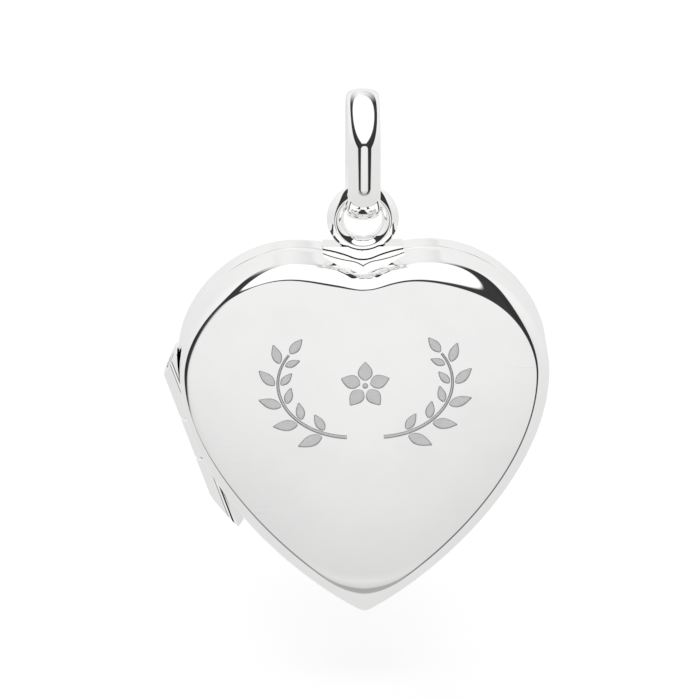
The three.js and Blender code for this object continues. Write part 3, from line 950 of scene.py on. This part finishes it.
def engraved(name, light, dark):
    """The frosted metal that an engraving tool leaves; called with dark colours it makes the painted
    shade on the strokes' sloping sides.
    """
    material, make = new_finish(name)
    frost = make.noise(14.0, detail=3)
    passes = make.noise(9.0, (0.1, 1, 1), (0, math.radians(45), 0), 2)
    grain = make.math("MULTIPLY_ADD", passes, 0.5, make.math("MULTIPLY", frost, 0.5))
    roughness = make.math("MULTIPLY_ADD", grain, 0.25, 0.42)
    colour = make.tint(grain, dark, light)
    make.surface(Base_Color=colour, Metallic=0.85, Roughness=roughness,
                 Normal=make.bump(grain, 0.5, 0.01))
    return material


FINISHES = {
    "polished_silver": polished_silver(),
    "satin_silver": satin_silver(),
    "hinge_wire": hinge_wire(),
    "clear_acetate": clear_acetate(),
    "blank_card": blank_card(),
    "engraved": engraved("engraved", (0.96, 0.96, 0.96), (0.82, 0.82, 0.82)),
    # Painted shade: the same engraved metal made much darker for the strokes' sloping sides, in place of
    # the shade in the recesses.
    "engraved_side_painted_shade": engraved("engraved_side_painted_shade", (0.5, 0.5, 0.5), (0.36, 0.36, 0.36)),
}

# ---------- camera ----------

VIEW_AZIMUTH = math.radians(-2.12)
VIEW_ELEVATION = math.radians(21.0)
VIEW_DISTANCE = 0.666
VIEW_WIDTH = 0.0476
AIM_UP = 4.68 * MM
AIM_LEFT = 0.89 * MM


def add_camera():
    centre = Vector((0, SEAM_Y * MM, HEART_Z * MM))
    flat = math.cos(VIEW_ELEVATION)
    towards = Vector((math.sin(VIEW_AZIMUTH) * flat, -math.cos(VIEW_AZIMUTH) * flat,
                      math.sin(VIEW_ELEVATION)))
    right = Vector((math.cos(VIEW_AZIMUTH), math.sin(VIEW_AZIMUTH), 0))
    up = right.cross(-towards)
    data = bpy.data.cameras.new("camera")
    data.sensor_width = 36
    data.lens = data.sensor_width * VIEW_DISTANCE / VIEW_WIDTH
    data.clip_start = 0.01
    data.clip_end = 20
    camera = bpy.data.objects.new("camera", data)
    bpy.context.scene.collection.objects.link(camera)
    camera.location = centre + towards * VIEW_DISTANCE
    aim = centre + up * AIM_UP - right * AIM_LEFT
    camera.rotation_euler = (aim - camera.location).to_track_quat("-Z", "Y").to_euler()
    bpy.context.scene.camera = camera


# ---------- studio ----------

MIRROR_AZIMUTH = 2.0
PATCH_ELEVATION = -21.0
EDGE_OPENING = 20.0
EDGE_LEAN = 54.0
RIGHT_EDGE = 9.5
LEFT_EDGE = 8.0
EDGE_DARKNESS = 0.96
PANEL = 1.08
SURROUND = (0.77, 0.95)
CARD_REACH = 8
CARD_RING_REACH = 15
CARD_GLOW_ELEVATION = -13
CARD_GLOW = (0.66, 0.9)
FLOOR_DROP = 5.0
FLOOR_REACH = 2000
FLOOR_GREY = 0.8
FLOOR_GLOW = 0.42


def direction(azimuth, elevation):
    """A unit vector: azimuth from the front towards the right, elevation up, in degrees."""
    a, e = math.radians(azimuth), math.radians(elevation)
    return Vector((math.sin(a) * math.cos(e), -math.cos(a) * math.cos(e), math.sin(e)))


def panel_edge(side):
    """The upward normal of the plane through one edge of the overhead panel."""
    across = MIRROR_AZIMUTH + side * EDGE_OPENING
    normal = direction(across, 0).cross(direction(across + side * 90, EDGE_LEAN))
    return normal * (1 if normal.z > 0 else -1)


def add_world():
    """Soft studio: a white panel overhead with dark edges, a pale card in front, grey around."""
    world = bpy.data.worlds.new("studio")
    bpy.context.scene.world = world
    world.use_nodes = True
    make = Nodes(world.node_tree)
    aim = make.add("ShaderNodeTexCoord").outputs["Generated"]

    def along(vector):
        sockets = {0: aim, 1: vector}
        return make.add("ShaderNodeVectorMath", sockets, operation="DOT_PRODUCT").outputs["Value"]

    def near(value, reach, soft):
        """1 where the value is within reach of 0, given as angles in degrees."""
        low, high = math.sin(math.radians(reach - soft)), math.sin(math.radians(reach + soft))
        return make.smooth(make.math("ABSOLUTE", value), low, high, 1, 0)

    def within(centre, reach, soft):
        """1 inside a round patch of directions, given as angles in degrees."""
        low, high = math.cos(math.radians(reach + soft)), math.cos(math.radians(reach - soft))
        return make.smooth(along(centre), low, high)

    def times(*values):
        return make.math("MULTIPLY", *values)

    right, left = along(panel_edge(1)), along(panel_edge(-1))
    up = along(Vector((0, 0, 1)))
    inside = times(make.smooth(right, -0.02, 0.02), make.smooth(left, -0.02, 0.02))
    light = make.mix(inside, make.smooth(up, -0.9, 0.9, *SURROUND), PANEL)

    def band(edge, other, reach, turn):
        """The dark strip along one edge of the panel, which fades out towards the back."""
        strip = times(near(edge, reach, 1), make.smooth(other, -0.05, 0.05))
        return times(strip, make.smooth(along(direction(MIRROR_AZIMUTH + turn, 0)), -0.65, 0.1, 0.12, 1))

    bands = make.most(band(right, left, RIGHT_EDGE, 45), band(left, right, LEFT_EDGE, -45))
    centre = direction(MIRROR_AZIMUTH, PATCH_ELEVATION)
    inner, outer = within(centre, CARD_REACH, 0.7), within(centre, CARD_RING_REACH, 1.5)
    steep = along(direction(MIRROR_AZIMUTH, PATCH_ELEVATION + 90))
    over, under = make.smooth(steep, 0.03, 0.12, 0.25, 1), make.smooth(steep, -0.12, -0.03, 0.5, 0.25)
    sides = times(bands, make.smooth(up, -0.95, -0.6, 0.15, 1))
    dark = make.most(sides, times(outer, make.most(over, under)))
    light = times(light, make.math("SUBTRACT", 1, times(dark, EDGE_DARKNESS)))
    glow = along(direction(MIRROR_AZIMUTH, CARD_GLOW_ELEVATION))
    light = make.mix(inner, light, make.smooth(glow, math.cos(math.radians(16)), 1, *CARD_GLOW))
    seen = make.add("ShaderNodeLightPath").outputs["Is Camera Ray"]
    light = make.mix(seen, light, 1.0)
    background = make.add("ShaderNodeBackground", {"Color": (1, 1, 1, 1), "Strength": light})
    make.add("ShaderNodeOutputWorld", {"Surface": background.outputs[0]})
    bpy.context.scene.view_settings.view_transform = "Standard"


def add_floor():
    reach = FLOOR_REACH
    corners = [(-reach, -reach, 0), (reach, -reach, 0), (reach, reach, 0), (-reach, reach, 0)]
    floor = new_mesh("floor", corners, [(0, 1, 2, 3)])
    floor.data.transform(Matrix.Scale(MM, 4))
    floor.location.z = CAD_BOX[0][2] - FLOOR_DROP * MM
    floor.visible_glossy = False
    material, make = new_finish("floor")
    matte = make.add("ShaderNodeBsdfDiffuse", {"Color": (FLOOR_GREY, FLOOR_GREY, FLOOR_GREY, 1)})
    glow = make.add("ShaderNodeEmission", {"Color": (1, 1, 1, 1), "Strength": FLOOR_GLOW})
    both = make.add("ShaderNodeAddShader", {0: matte.outputs[0], 1: glow.outputs[0]})
    make.add("ShaderNodeOutputMaterial", {"Surface": both.outputs[0]})
    floor.data.materials.append(material)


# ---------- assembly ----------


def settle(piece, node, body, finish):
    """Brings a piece from millimetres to metres; gives it its finish and body, and hides the CAD node it
    stands in for.

    A cut can leave an empty material slot, so those are cleared before the finish goes on."""
    piece.data.transform(Matrix.Scale(MM, 4))
    if not any(piece.data.materials):
        piece.data.materials.clear()
        piece.data.materials.append(FINISHES[finish])
    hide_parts(node)
    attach(piece, body)


def front_shell():
    """The front cover: hollow, with its groove, dimple, thumb notch, cleft notch and ornament."""
    shell = cover("front_shell", FRONT_DEPTH, FACE_DOME, 1)
    shell.data.materials.append(FINISHES["polished_silver"])
    at_catch = on_right_side(CATCH_Y, RIM_STANDS / 2)
    dimple = rod("dimple", DIMPLE_RADIUS, *DIMPLE_SPAN, at_catch, 0.15, axis=0)
    notch = rod("thumb", NOTCH_RADIUS, -NOTCH_LENGTH / 2, NOTCH_LENGTH / 2,
                lambda p: on_right_side(NOTCH_Y, 0)(p - (NOTCH_OUT, 0, 0)), 0.2)
    side_x, side_y = CLEFT_NOTCH_SIDE
    wedge = np.array([(0, CLEFT_NOTCH_BOTTOM), (side_x, side_y), (side_x, LOBE_TOP[1] + 1),
                      (-side_x, LOBE_TOP[1] + 1), (-side_x, side_y)])
    rings = [np.column_stack([wedge, np.full(5, z)]) for z in (-1, CLEFT_NOTCH_DEPTH)]
    cut(shell, groove(True), dimple, notch, loft("cleft_notch", rings, True), *ornament())
    return crisp(shell)


def back_shell():
    """The back cover: hollow and plain, with its groove."""
    shell = cover("back_shell", BACK_DEPTH, 0, -1)
    return crisp(cut(shell, groove(False)))


def build():
    """Makes the 20 pieces, each in place of a hidden CAD node, on its body and with its finish."""
    back, front = "locket_back", "locket_front"
    settle(front_shell(), "front_cover", front, "polished_silver")
    settle(back_shell(), "back_cover", back, "polished_silver")
    settle(bail_loop(), "bail", "bail", "polished_silver")
    settle(eye_ring(), "loop_eye", back, "polished_silver")
    settle(saddle(), "eye_saddle", back, "polished_silver")
    start = MIDDLE + KNUCKLE_GAP
    settle(side_knuckle("upper_knuckle", start, TUBE_END, UPPER_FILED), "knuckle_upper", back,
           "polished_silver")
    settle(side_knuckle("lower_knuckle", -TUBE_END, -start, LOWER_FILED), "knuckle_lower", back,
           "polished_silver")
    settle(crisp(tube("middle_knuckle", -MIDDLE, MIDDLE)), "knuckle_middle", front, "polished_silver")
    settle(pin(), "hinge_pin", back, "hinge_wire")
    settle(snap_rim(), "back_snap_rim", back, "satin_silver")
    settle(seat_ring(), "front_seat_ring", front, "satin_silver")
    settle(bead("snap_bead", BEAD_RADIUS, RIM_OUTER - BEAD_STANDS, RIM_INNER, 0.1), "catch_bead", back,
           "satin_silver")
    settle(bearer("back_bearer", -1, False), "back_hinge_bearer", back, "satin_silver")
    settle(bearer("front_bearer", 1, True), "front_hinge_bearer", front, "satin_silver")
    for body, side, face in (("back", -1, BACK_STACK), ("front", 1, FRONT_STACK)):
        rides = f"locket_{body}"
        settle(photo_frame(f"{body}_frame", face, side), f"{body}_photo_frame", rides, "satin_silver")
        settle(sheet(f"{body}_pane", face, side, 0), f"{body}_window", rides, "clear_acetate")
        settle(sheet(f"{body}_card", face, side, SHEET_THICK + SHEET_GAP), f"{body}_photo_card", rides,
               "blank_card")


add_camera()
add_world()
add_floor()
build()
